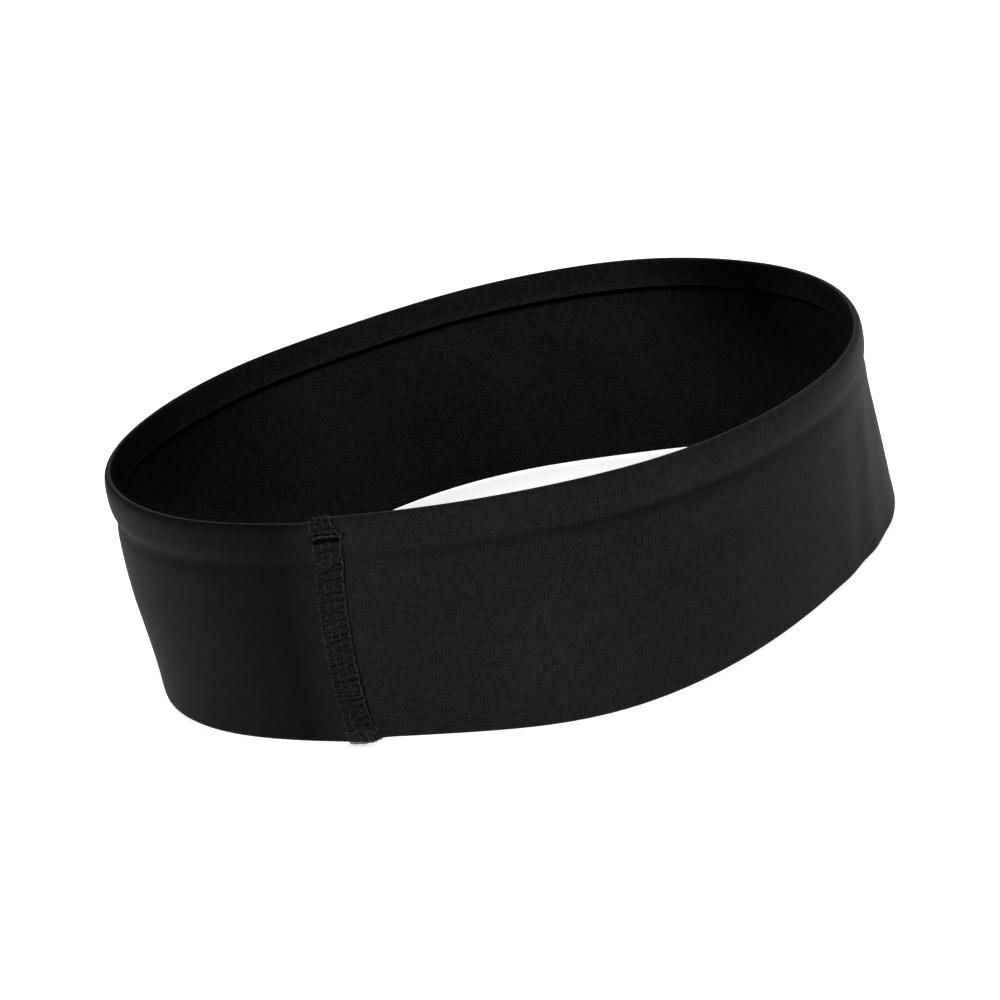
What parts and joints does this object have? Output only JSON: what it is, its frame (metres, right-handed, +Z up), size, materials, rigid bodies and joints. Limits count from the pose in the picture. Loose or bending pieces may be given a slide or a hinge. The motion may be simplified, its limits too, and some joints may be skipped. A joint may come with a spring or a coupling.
{
  "type": "sports headband",
  "caption": "Wide black pull-on sports headband of folded jersey with an elastic hem along the top edge and one flat stitched seam.",
  "frame": {"origin": "middle of the bounding box's bottom, on the surface that the folded edge stands on", "axes": "+Z up along the band's axis towards the elastic hem, +X along the oval's longer axis, with the seam on the -X -Y side"},
  "size_m": [0.1898, 0.145, 0.057],
  "materials": {
    "jersey": "matte",
    "elastic": "matte",
    "film": "satin",
    "thread": "satin"
  },
  "bodies": {
    "root": {"fabric_strip": "jersey", "hem_elastic": "elastic", "hem_bond_film": "film", "needle_thread_left_outer": "thread", "needle_thread_left_inner": "thread", "needle_thread_right_inner": "thread", "needle_thread_right_outer": "thread", "cover_thread": "thread", "looper_thread": "thread", "bar_tack_hem": "thread", "bar_tack_foot": "thread"}
  },
  "joints": []
}
